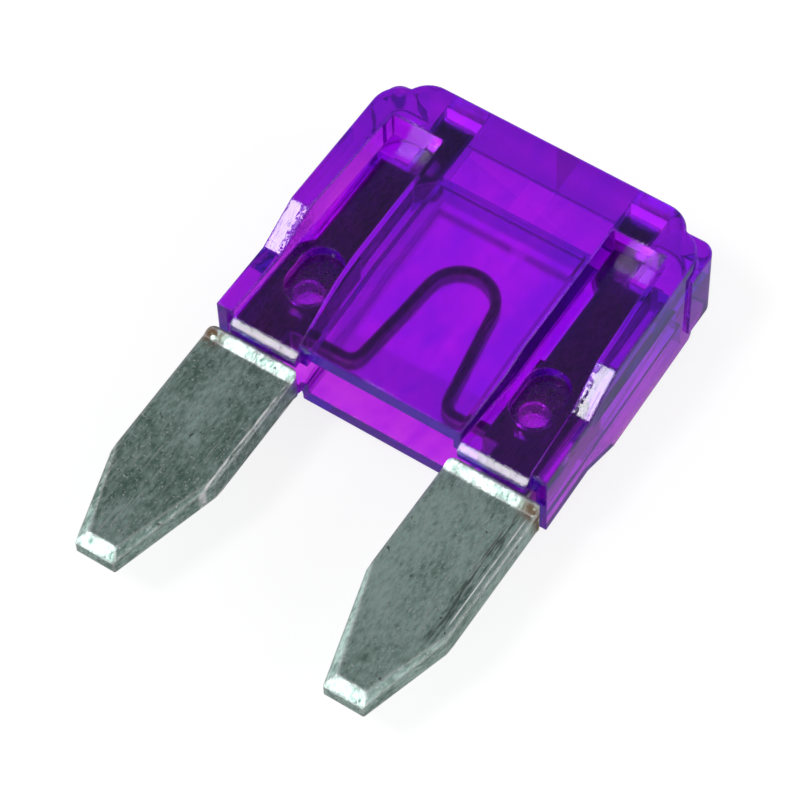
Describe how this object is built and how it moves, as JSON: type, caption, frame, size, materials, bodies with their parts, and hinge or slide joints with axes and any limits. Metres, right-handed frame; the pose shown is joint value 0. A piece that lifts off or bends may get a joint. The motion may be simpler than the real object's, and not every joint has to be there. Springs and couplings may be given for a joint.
{
  "type": "automotive blade fuse",
  "caption": "Small automotive blade fuse with a see-through violet moulded housing, tapered metal plug-in blades and a thin curved fusible link inside.",
  "frame": {"origin": "bottom centre of the whole fuse's box as it lies on its back", "axes": "+Y runs from the blade tips to the head, +X across the two blades, +Z out of the front face"},
  "size_m": [0.0106, 0.0164, 0.0039],
  "materials": {
    "violet_plastic": "clear moulded, violet tint",
    "zinc_strip": "stamped zinc alloy, dull plated"
  },
  "bodies": {
    "root": {"housing": "violet_plastic", "fuse_element": "zinc_strip"}
  },
  "joints": []
}
